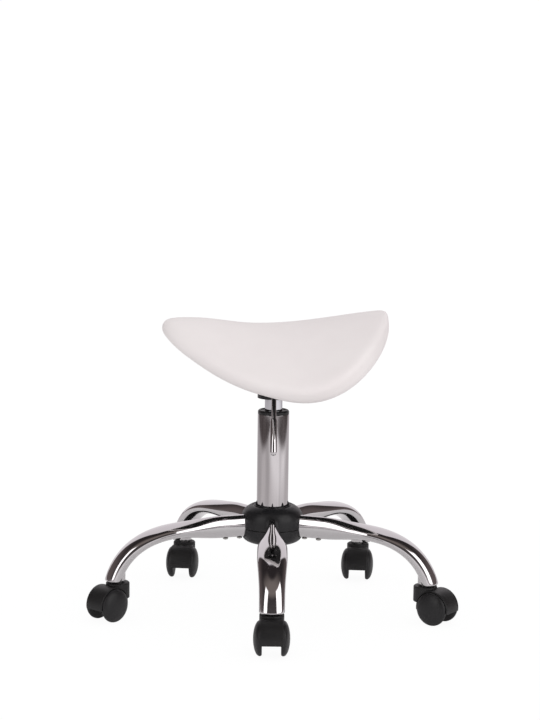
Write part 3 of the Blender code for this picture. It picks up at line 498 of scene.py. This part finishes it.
def make_hub(spokes):
    """The two covers with a recessed arch round each arm and gripping teeth on the collar."""
    top = turned("hub_upper_cover", fillet([
        (0.0256, 0.1652), (0.0268, 0.1652), (0.0272, 0.1668), (0.0284, 0.1668), (0.0292, 0.1646),
        (0.0322, 0.1646), (0.0334, 0.1660), (0.0372, 0.1644), (0.0436, 0.1598), (0.0480, 0.1530),
        (0.0500, 0.1455), (0.0502, PARTING_Z + 0.0004), (0.0360, PARTING_Z + 0.0004),
        (0.0360, 0.1500), (0.0256, 0.1560)],
        [0, 0.0005, 0.0005, 0.0005, 0.0008, 0.0008, 0.0006, 0.004, 0.008, 0.008, 0.006, 0.0006,
         0, 0, 0], 4), 120)
    bottom = turned("hub_lower_cover", fillet([
        (0.0, 0.1100), (0.0360, 0.1180), (0.0360, PARTING_Z - 0.0004),
        (0.0498, PARTING_Z - 0.0004), (0.0494, 0.1200), (0.0462, 0.1120), (0.0395, 0.1077),
        (0.0300, 0.1065), (0.0, 0.1065)],
        [0, 0, 0, 0.0006, 0.006, 0.008, 0.006, 0.004, 0], 5), 120)
    for spoke in spokes:
        for cover in (top, bottom):
            cut(cover, oval_prism("recess", *RECESS_SIZE, 0.0400, 0.070, ROOT_Z, spoke))
            cut(cover, oval_prism("arch", *ARCH_SIZE, 0.030, 0.070, ROOT_Z, spoke, power=2.0))
    for cover in (top, bottom):
        soften(cover, 0.0007, 3, 40.0)
    dress(top, COVER, "base", ["hub_top_cover"], TO_COLUMN)
    dress(bottom, COVER, "base", ["hub_bottom_cover"], TO_COLUMN)

    bm = bmesh.new()
    for k in range(TEETH):
        turn = Matrix.Rotation(math.radians(-90.0 + 360.0 / TEETH * k), 4, "Z")
        section = [(-0.0022, 0.1640), (0.0022, 0.1640), (0.0014, 0.1686), (0.0003, 0.1730),
                   (-0.0003, 0.1730), (-0.0014, 0.1686)]
        near = [turn @ Vector((0.02515, y, z)) for y, z in section]
        far = [turn @ Vector((0.0266 if z < 0.170 else 0.0257, y, z)) for y, z in section]
        rings_mesh(bm, [near, far])
    teeth = finish_mesh("hub_collar_teeth", bm, 30.0)
    dress(teeth, COVER, "base", [], TO_COLUMN)


# ---- casters ------------------------------------------------------------------------

WHEEL_R = 0.0260
INNER_Y, TREAD_Y, OUTER_Y = 0.0141, 0.0175, 0.0272
HOOD_R, HOOD_HALF = 0.0284, 0.0175
HOOD_FOOT_Z = 0.0215
NECK_R, NECK_TOP_Z = 0.0185, 0.0575
ROOM_R, WEB_HALF = 0.0270, 0.0138     # the wheels' rooms and the web between them
LAID = Matrix.Rotation(math.pi / 2.0, 4, "X")


def make_hood(number, matrix, trail):
    """The moulded hood: a drum over the wheels, a round neck and rooms for the wheels."""
    axle = Matrix.Translation((trail, 0.0, WHEEL_R))
    drum = turned(f"caster_hood_piece_{number}", fillet([
        (0.0, HOOD_HALF), (HOOD_R, HOOD_HALF), (HOOD_R, -HOOD_HALF), (0.0, -HOOD_HALF)],
        [0, 0.0014, 0.0014, 0], 4), 112, axle @ LAID)
    neck = turned("neck", fillet([
        (0.0, NECK_TOP_Z), (0.0164, NECK_TOP_Z), (NECK_R, 0.0560), (NECK_R, 0.0325),
        (0.0, 0.0325)], [0, 0.0012, 0.0012, 0.0010, 0], 4), 80)
    cut(drum, neck, "UNION")
    bm = bmesh.new()
    bmesh.ops.create_cube(bm, size=1.0)
    bmesh.ops.scale(bm, verts=bm.verts, vec=(0.20, 0.10, 2.0 * HOOD_FOOT_Z))
    cut(drum, finish_mesh("below", bm))
    for sign in (1.0, -1.0):
        room = turned("room", [(0.0, WEB_HALF * sign), (ROOM_R, WEB_HALF * sign),
                               (ROOM_R, 0.040 * sign), (0.0, 0.040 * sign)], 112, axle @ LAID)
        cut(drum, room)
    soften(drum, 0.0006, 2, 50.0)
    dress(drum, HOOD, f"caster_fork_{number}", [f"caster_hood_{number}"], matrix)


def make_wheel(number, side, sign, matrix, trail):
    """A wheel with a domed outer face, an eased tread and a shallow step at its axle."""
    dome = OUTER_Y - TREAD_Y
    profile = []
    for i in range(25):
        angle = math.radians(90.0 * i / 24)
        profile.append((WHEEL_R * math.sin(angle), TREAD_Y + dome * math.cos(angle)))
    profile[-1] = (WHEEL_R, TREAD_Y + 0.0004)
    profile += [(WHEEL_R, TREAD_Y - 0.0012), (WHEEL_R - 0.0004, TREAD_Y - 0.0022),
                (WHEEL_R - 0.0016, INNER_Y), (0.0060, INNER_Y), (0.0060, 0.0150),
                (0.0030, 0.0150), (0.0030, INNER_Y), (0.0, INNER_Y)]
    lay = (Matrix.Translation((trail, 0.0, WHEEL_R))
           @ Matrix.Rotation(-sign * math.pi / 2.0, 4, "X"))
    wheel = turned(f"wheel_{side}_piece_{number}", profile, 96, lay, 50.0)
    dress(wheel, WHEEL, f"caster_wheel_{side}_{number}",
          [f"wheel_{side}_{number}"], matrix)


# ---- column -------------------------------------------------------------------------


TUBE_R, TUBE_TOP_Z = 0.0250, 0.3132
BUSH_TOP_Z, BUSH_FOOT_Z = 0.3193, 0.2350
CYLINDER_R, CYLINDER_TOP_Z, CYLINDER_FOOT_Z = 0.0140, 0.388, 0.130


def make_column():
    """Outer tube, bush with its rounded ring, and the polished cylinder above it."""
    tube = turned("column_tube", fillet([
        (0.0232, TUBE_TOP_Z), (TUBE_R, TUBE_TOP_Z), (TUBE_R, 0.1500), (0.0235, 0.1170),
        (0.0215, 0.1170), (0.0232, 0.1520)], [0, 0.0006, 0.002, 0.0005, 0, 0], 4), 128)
    dress(tube, TUBE_CHROME, "base", ["outer_tube"], TO_COLUMN)
    bush = turned("tube_bush_piece", fillet([
        (0.0143, 0.3180), (0.0200, 0.3181), (0.0215, BUSH_TOP_Z), (0.0232, BUSH_TOP_Z),
        (0.0248, 0.3176), (0.0248, 0.3135), (0.0228, 0.3135), (0.0228, BUSH_FOOT_Z),
        (0.0143, BUSH_FOOT_Z)],
        [0, 0.0008, 0.0006, 0.0012, 0.002, 0.0004, 0, 0, 0], 5), 112)
    dress(bush, BUSH, "base", ["tube_bush"], TO_COLUMN)
    cylinder = turned("gas_cylinder_piece", fillet([
        (0.0031, CYLINDER_TOP_Z), (0.0128, CYLINDER_TOP_Z), (0.0134, 0.387),
        (CYLINDER_R, 0.340), (CYLINDER_R, CYLINDER_FOOT_Z), (0.0112, CYLINDER_FOOT_Z),
        (0.0112, 0.370), (0.0031, 0.370)],
        [0, 0.0005, 0.0005, 0.004, 0.0005, 0, 0, 0], 3), 96)
    dress(cylinder, PISTON_CHROME, "seat", ["gas_cylinder"], TO_COLUMN)


# ---- saddle -------------------------------------------------------------------------

MID_X, HALF_LENGTH = 0.001, 0.178
WIDTH_TERMS = (0.1612, 0.0800, 0.0224)        # half width along the length: flat, tilt, swell
RIDGE_DIP_X, RIDGE_DIP_Z = -0.030, 0.4567
NOSE_RISE, NOSE_RUN = 0.0079, 0.102
REAR_RISE, REAR_RUN = 0.0260, 0.263
CUSHION_THICK, NOSE_THINNING = 0.038, 0.005
FLAP_STEEPNESS, FLAP_SOFT = 1.14, 0.03
FLAP_NOSE_GROWTH, FLAP_REAR_EASE, FLAP_NOSE_PULL = 19.5, 15.7, 2.82
SHELL_THICK, SHELL_SCALE, SHELL_GAP = 0.005, 0.87, 0.0009
BOSS_X, BOSS_Y, BOSS_FOOT_Z = 0.050, 0.045, 0.3833


def rise(share):
    """A smooth rise from 0 to 1."""
    return (1.0 - np.cos(math.pi * np.clip(share, 0.0, 1.0))) / 2.0


def ridge_height(x):
    """Top of the cushion along its middle."""
    return (RIDGE_DIP_Z + NOSE_RISE * rise((RIDGE_DIP_X - x) / NOSE_RUN)
            + REAR_RISE * rise((x - RIDGE_DIP_X) / REAR_RUN))


def cushion_thick(x):
    """Thickness of the cushion, thinner towards the nose."""
    share = np.clip((-x - 0.080) / 0.090, 0.0, 1.0)
    return CUSHION_THICK - NOSE_THINNING * share * share * (3.0 - 2.0 * share)


def surface_height(x, y):
    """Height of the cushion's middle surface."""
    ahead = (x - np.hypot(x, FLAP_SOFT)) / 2.0
    bend = np.where(x < 0.0, FLAP_NOSE_GROWTH, -FLAP_REAR_EASE)
    steepness = FLAP_STEEPNESS + bend * x * x - FLAP_NOSE_PULL * ahead
    drop = np.maximum(steepness, 0.0) * ((y * y + FLAP_SOFT ** 2) ** 0.75 - FLAP_SOFT ** 1.5)
    return ridge_height(x) - cushion_thick(x) / 2.0 - drop


def pad_points(angles, share, offset_at):
    """Points at an offset from the middle surface, at one share of the outline."""
    along = np.cos(angles)
    x = MID_X + HALF_LENGTH * share * along
    flat, tilt, swell = WIDTH_TERMS
    y = (flat + tilt * along + swell * along * along) * share * np.sin(angles)
    step = 0.0005
    slope_x = (surface_height(x + step, y) - surface_height(x - step, y)) / (2 * step)
    slope_y = (surface_height(x, y + step) - surface_height(x, y - step)) / (2 * step)
    size = np.sqrt(1.0 + slope_x ** 2 + slope_y ** 2)
    offset = offset_at(x, along)
    return np.stack([x - offset * slope_x / size, y - offset * slope_y / size,
                     surface_height(x, y) + offset / size], axis=-1)


def pad_bmesh(scale, offset, thick, powers, turns, rows):
    """A closed pad that follows the saddle; its rows crowd towards the edge.

    The two powers say how late the pad thins out, at the nose and at the rear.
    """
    angles = np.arange(turns) * 2.0 * math.pi / turns
    bm = bmesh.new()
    loops = []
    poles = []
    for k in range(rows + 1):
        polar = math.pi * k / rows
        fold = min(polar, math.pi - polar) / (math.pi / 2.0)
        share = 1.0 - (1.0 - fold) ** 2.1
        side = 1.0 if polar < math.pi / 2.0 else -1.0

        def offset_at(x, along):
            rear = np.clip(along, 0.0, 1.0)
            power = powers[0] + (powers[1] - powers[0]) * rear
            square = 2.2 + 2.3 * rear if side > 0.0 else 2.0      # crisper on top
            swell = np.maximum(1.0 - share ** power, 0.0) ** (1.0 / square)
            return offset(x) + side * swell * thick(x) / 2.0

        if k in (0, rows):
            poles.append(bm.verts.new(pad_points(np.zeros(1), 0.0, offset_at)[0]))
        else:
            points = pad_points(angles, share * scale, offset_at)
            loops.append([bm.verts.new(point) for point in points])
    join_loops(bm, loops)
    fan(bm, poles[0], loops[0])
    fan(bm, poles[1], loops[-1])
    return bm


def shell_offset(x):
    """From the cushion's middle surface to the middle of the shell."""
    return -(cushion_thick(x) + SHELL_THICK) / 2.0 - SHELL_GAP


def make_saddle():
    """The upholstered cushion and, under it, the moulded shell with its four bosses."""
    bm = pad_bmesh(1.0, lambda x: 0.0, cushion_thick, (18.0, 36.0), 160, 84)
    cushion = finish_mesh("saddle_cushion", bm, 80.0)
    dress(cushion, LEATHER, "seat", ["seat_cushion"], TO_COLUMN)

    bm = pad_bmesh(SHELL_SCALE, shell_offset, lambda x: SHELL_THICK, (16.0, 16.0), 128, 40)
    for sign_x, sign_y in ((1, 1), (-1, 1), (-1, -1), (1, -1)):
        at_x, at_y = BOSS_X * sign_x, BOSS_Y * sign_y
        top = float(surface_height(at_x, at_y) + shell_offset(at_x))
        boss = fillet([(0.0, top), (0.0108, top), (0.0098, BOSS_FOOT_Z), (0.0034, BOSS_FOOT_Z),
                       (0.0034, 0.3920), (0.0, 0.3920)], [0, 0, 0.0008, 0.0003, 0, 0], 3)
        lathe(bm, boss, 40, Matrix.Translation((at_x, at_y, 0.0)))
    shell = finish_mesh("saddle_shell", bm, 50.0)
    dress(shell, SHELL, "seat", ["seat_shell"], TO_COLUMN)


# ---- release lever ------------------------------------------------------------------

SLOPE = math.radians(34.3)            # from the vertical
END_SLOPE = math.radians(12.0)
STRAIGHT_END, ARC = 0.100, 0.033      # lengths of the straight run and of the bend after it
PIVOT, TONGUE, RUN_START = (-0.032, 0.3975), (0.006, 0.3975), (-0.050, 0.380)
BAR_R, BAR_END = 0.0038, 0.089
GRIP_R, GRIP_START, GRIP_LIP = 0.0053, 0.074, 0.0012


def lever_point(run):
    """A point of the lever's sloping run and its slope there, in the column's YZ plane."""
    straight = min(run, STRAIGHT_END)
    y = RUN_START[0] - math.sin(SLOPE) * straight
    z = RUN_START[1] - math.cos(SLOPE) * straight
    turned_by = SLOPE - END_SLOPE
    slope = SLOPE - max(run - STRAIGHT_END, 0.0) / ARC * turned_by
    radius = ARC / turned_by
    y -= (math.cos(slope) - math.cos(SLOPE)) * radius
    z -= (math.sin(SLOPE) - math.sin(slope)) * radius
    return np.array((y, z)), slope


def tube_along(bm, points, radii, count=40):
    """Adds a round bar through points of the YZ plane with a radius at each."""
    rings = []
    for i, point in enumerate(points):
        ahead = points[min(i + 1, len(points) - 1)] - points[max(i - 1, 0)]
        normal = np.array((-ahead[1], ahead[0])) / np.linalg.norm(ahead)
        ring = []
        for k in range(count):
            angle = 2.0 * math.pi * k / count
            side = normal * math.sin(angle) * radii[i]
            ring.append((radii[i] * math.cos(angle), point[0] + side[0], point[1] + side[1]))
        rings.append(ring)
    rings_mesh(bm, rings)


def make_lever():
    """The bent chromed bar and its thicker grip with a rounded end."""
    pivot, tongue, run_start = (np.array(point) for point in (PIVOT, TONGUE, RUN_START))
    start = pivot + (tongue - pivot) * 0.2
    corner = pivot + (run_start - pivot) * 0.55
    eased = 0.016
    end = lever_point(eased)[0]
    path = [tongue, start + (tongue - start) * 0.5]
    for i in range(21):
        t = i / 20
        path.append(start * (1 - t) ** 2 + corner * 2 * t * (1 - t) + end * t * t)
    path += [lever_point(eased + (BAR_END - eased) * i / 10)[0] for i in range(1, 11)]
    bm = bmesh.new()
    tube_along(bm, path, [BAR_R] * len(path))
    across = Matrix.Translation((0.0, pivot[0], pivot[1])) @ Matrix.Rotation(math.pi / 2, 4, "Y")
    lathe(bm, fillet([(0.0, 0.0125), (0.0020, 0.0125), (0.0020, -0.0125), (0.0, -0.0125)],
                     0.0003, 2), 32, across)
    bar = finish_mesh("release_lever_bar", bm, 50.0)
    dress(bar, CHROME, "lever", ["release_lever"], TO_COLUMN)

    total = STRAIGHT_END + ARC
    quarter = [math.pi / 2 * i / 4 for i in range(5)]
    runs = [GRIP_START + GRIP_LIP * (1 - math.cos(angle)) for angle in quarter]
    radii = [GRIP_R - GRIP_LIP * (1 - math.sin(angle)) for angle in quarter]
    runs += list(np.linspace(GRIP_START + 0.004, total - GRIP_R, 30))
    radii += [GRIP_R] * 30
    for i in range(1, 12):
        angle = math.pi / 2 * i / 11
        runs.append(total - GRIP_R * (1 - math.sin(angle)))
        radii.append(max(GRIP_R * math.cos(angle), 0.0002))
    bm = bmesh.new()
    tube_along(bm, [lever_point(run)[0] for run in runs], radii, 48)
    grip = finish_mesh("release_lever_grip", bm, 50.0)
    dress(grip, CHROME, "lever", ["lever_grip"], TO_COLUMN)


# ---- everything ---------------------------------------------------------------------

spokes = []
for k in range(5):
    angle = -math.pi / 2.0 + 2.0 * math.pi * k / 5
    spoke = TO_COLUMN @ Matrix.Rotation(angle, 4, "Z")
    spokes.append(spoke)
    number = k + 1
    make_arm(number, spoke)
    for place, radius in SCREW_RADII.items():
        make_arm_screw(number, place, radius, spoke)
    stem = Vector(JOINTS[f"caster_swivel_{number}"]["pos_m"])
    axle = Vector(JOINTS[f"wheel_spin_left_{number}"]["pos_m"])
    reach = axle - stem
    swivel = (Matrix.Translation((stem.x, stem.y, 0.0))
              @ Matrix.Rotation(math.atan2(reach.y, reach.x), 4, "Z"))
    trail = math.hypot(reach.x, reach.y)
    make_hood(number, swivel, trail)
    make_wheel(number, "left", 1.0, swivel, trail)
    make_wheel(number, "right", -1.0, swivel, trail)
make_hub(spokes)
make_column()
make_saddle()
make_lever()

# The CAD's own solids that stay visible get a material each.
CARRIED = {"hub_core": BLACK_STEEL, "seat_plate": BLACK_STEEL, "rod_guide": BUSH}
for name, node in NODES.items():
    if node.hide_render:
        continue
    finish = CARRIED.get(name, ZINC if name.startswith("seat_bolt") else STEEL)
    node.data.materials.clear()
    node.data.materials.append(finish)


# ---- floor, light and camera --------------------------------------------------------


FLOOR_R = 9.0
# The sheet's tones hold painted light: a brighter pool to the front right and painted shade
# behind.
CHROME_SEES = {                       # linear colours of the studio in the chrome
    "sheet": (0.78, 0.74, 0.75), "sheet_painted_light_right": (1.24, 1.20, 1.22),
    "sheet_painted_shade_behind": (0.68, 0.64, 0.66), "bare_floor": (0.13, 0.11, 0.11),
    "backdrop": (0.93, 0.88, 0.91), "softbox": (2.3, 2.25, 2.25),
    "wall": (0.150, 0.122, 0.120), "front_wall": (0.085, 0.076, 0.076),
    "front_horizon": (0.56, 0.53, 0.54), "front_glow": (0.235, 0.200, 0.185),
    "ceiling": (0.034, 0.028, 0.029)}
SOFTBOX_SIDES = ((33.0, 74.0), (-56.0, -34.0))        # degrees from the front, to the right
SOFTBOX_LIFT = (8.0, 46.0)
WHITE = 1.02                          # what the camera sees behind and under the stool


def seen_colour(name):
    """One of the studio's colours in the chrome."""
    return rgb(*CHROME_SEES[name])


def make_floor():
    """A plain pale floor. What mirrors see of it glows with painted light: brighter to the front
    right, painted shade behind, and darker beyond the sheet's edges.
    """
    bm = bmesh.new()
    bmesh.ops.create_circle(bm, cap_ends=True, segments=96, radius=FLOOR_R)
    floor = finish_mesh("studio_floor", bm)
    made, nodes, principled = shader("pale_floor")
    principled.inputs["Base Color"].default_value = rgb(0.92, 0.92, 0.92)
    principled.inputs["Roughness"].default_value = 0.9
    principled.inputs["Specular IOR Level"].default_value = 0.1
    place = nodes.add("ShaderNodeTexCoord").outputs["Object"]
    split = nodes.add("ShaderNodeSeparateXYZ", {0: place})
    x, y = split.outputs[0], split.outputs[1]
    far = nodes.add("ShaderNodeVectorMath", {0: place}, operation="LENGTH").outputs["Value"]
    light_path = nodes.add("ShaderNodeLightPath")

    white = nodes.add("ShaderNodeEmission", {"Color": rgb(1.0, 1.0, 1.0), "Strength": WHITE})
    share = nodes.math("MULTIPLY", nodes.ramp(far, 0.32, 0.9, 0.93, 1.0),
                       light_path.outputs["Is Camera Ray"])
    seen = nodes.add("ShaderNodeMixShader", {0: share, 1: principled.outputs[0],
                                             2: white.outputs[0]})

    side = nodes.ramp(nodes.math("ABSOLUTE", x), 1.95, 2.75)
    # Painted light for mirrors: a pool of light to the front right, then painted shade behind.
    painted_light_right = nodes.ramp(nodes.math("SUBTRACT", x, y), 0.2, 2.2)
    tone = nodes.mix(painted_light_right, seen_colour("sheet"), seen_colour("sheet_painted_light_right"))
    tone = nodes.mix(nodes.ramp(y, 0.1, 1.6), tone, seen_colour("sheet_painted_shade_behind"))
    tone = nodes.mix(side, tone, seen_colour("bare_floor"))
    mirrored = nodes.add("ShaderNodeEmission", {"Color": tone, "Strength": 1.0})
    share = nodes.math("MULTIPLY", nodes.ramp(far, 0.30, 1.0, 0.35, 1.0),
                       light_path.outputs["Is Glossy Ray"])
    both = nodes.add("ShaderNodeMixShader", {0: share, 1: seen.outputs[0],
                                             2: mirrored.outputs[0]})
    nodes.put(made.node_tree.nodes["Material Output"].inputs["Surface"], both.outputs[0])
    floor.data.materials.append(made)
    floor.location.z = -0.0002


def make_world():
    """The studio round the stool, with its own answer to each kind of ray.

    Mirrors see a pale backdrop behind, a dark room and ceiling, and in front a softbox on
    each side with a brown glow above. Matt surfaces get soft light, stronger from the front
    and the right. The camera sees white.
    """
    world = bpy.data.worlds.new("studio")
    SCENE.world = world
    world.use_nodes = True
    nodes = Nodes(world.node_tree)
    world.node_tree.nodes.clear()
    direction = nodes.add("ShaderNodeTexCoord").outputs["Generated"]
    split = nodes.add("ShaderNodeSeparateXYZ", {0: direction})
    x, y, z = (split.outputs[i] for i in range(3))
    degree = math.radians(1.0)
    over = nodes.math("ARCTAN2", z, y)                # 0 at the back, a half turn in front
    lift = nodes.math("ARCSINE", z)
    forward = nodes.math("MULTIPLY", y, -1.0)
    off_back = nodes.math("ARCTAN2", nodes.math("ABSOLUTE", x), y)
    side = nodes.math("ARCTAN2", x, forward)          # from the front, to the right

    def within(value, low, high, soft):
        """1 between two angles in degrees, 0 outside, with soft edges."""
        rise = nodes.ramp(value, (low - soft) * degree, low * degree)
        fall = nodes.ramp(value, (high + soft) * degree, high * degree)
        return nodes.math("MULTIPLY", rise, fall)

    backdrop = nodes.math("MULTIPLY", nodes.ramp(off_back, 43.0 * degree, 38.0 * degree),
                          nodes.ramp(over, 80.0 * degree, 74.0 * degree))
    right_box, left_box = (nodes.math("MULTIPLY", within(side, *box, 3.0),
                                      within(lift, *SOFTBOX_LIFT, 4.0))
                           for box in SOFTBOX_SIDES)
    boxes = nodes.math("ADD", right_box, left_box, clamp=True)
    facing = nodes.ramp(forward, -0.1, 0.5)
    wall = nodes.mix(facing, seen_colour("wall"), seen_colour("front_wall"))
    fade = nodes.math("ADD", nodes.math("MULTIPLY", facing, 16.0 * degree), 52.0 * degree)
    shade = nodes.ramp(nodes.math("DIVIDE", lift, fade), 0.12, 1.0)
    room = nodes.mix(shade, wall, seen_colour("ceiling"))
    above = nodes.math("MULTIPLY", within(lift, 48.0, 66.0, 12.0), facing)
    room = nodes.mix(above, room, seen_colour("front_glow"))
    low = nodes.math("MULTIPLY", nodes.ramp(lift, 10.0 * degree, 3.0 * degree), facing)
    room = nodes.mix(low, room, seen_colour("front_horizon"))
    mirrored = nodes.mix(backdrop, room, seen_colour("backdrop"))
    mirrored = nodes.mix(boxes, mirrored, seen_colour("softbox"))

    soft = nodes.math("ADD", nodes.math("MULTIPLY", forward, 0.30), 0.98)
    soft = nodes.math("ADD", soft, nodes.math("MULTIPLY", x, 0.28))
    soft = nodes.math("ADD", soft, nodes.math("MULTIPLY", z, -0.14))
    light = nodes.add("ShaderNodeCombineColor", {0: soft, 1: soft, 2: soft})
    light_path = nodes.add("ShaderNodeLightPath")
    colour = nodes.mix(light_path.outputs["Is Glossy Ray"], light.outputs[0], mirrored)
    colour = nodes.mix(light_path.outputs["Is Camera Ray"], colour, rgb(WHITE, WHITE, WHITE))
    background = nodes.add("ShaderNodeBackground", {"Color": colour, "Strength": 1.0})
    output = nodes.add("ShaderNodeOutputWorld")
    nodes.put(output.inputs["Surface"], background.outputs[0])


def make_light(name, location, target, size, power):
    """A soft area light that mirrors don't show."""
    lamp = bpy.data.lights.new(name, "AREA")
    lamp.shape = "DISK"
    lamp.size = size
    lamp.energy = power
    made = bpy.data.objects.new(name, lamp)
    SCENE.collection.objects.link(made)
    made.location = location
    made.rotation_euler = (Vector(target) - Vector(location)).to_track_quat("-Z", "Y").to_euler()
    made.visible_glossy = False
    made.visible_camera = False


def make_camera():
    """The camera stands in front of the stool and a little above its seat."""
    lens = bpy.data.cameras.new("camera")
    lens.sensor_fit = "VERTICAL"
    lens.sensor_height = 36.0
    lens.lens = 93.7
    lens.clip_end = 50.0
    camera = bpy.data.objects.new("camera", lens)
    SCENE.collection.objects.link(camera)
    camera.matrix_world = (Matrix.Translation((-0.0161, COLUMN.y - 2.9305, 0.7952))
                           @ Matrix.Rotation(math.radians(-0.185), 4, "Z")
                           @ Matrix.Rotation(math.radians(90.0 - 7.71), 4, "X")
                           @ Matrix.Rotation(math.radians(0.7265), 4, "Z"))
    SCENE.camera = camera


make_floor()
make_world()
make_light("front_light", (-0.9, -2.4, 1.5), (0.0, 0.0, 0.3), 1.4, 5.0)
make_camera()
SCENE.view_settings.view_transform = "Standard"
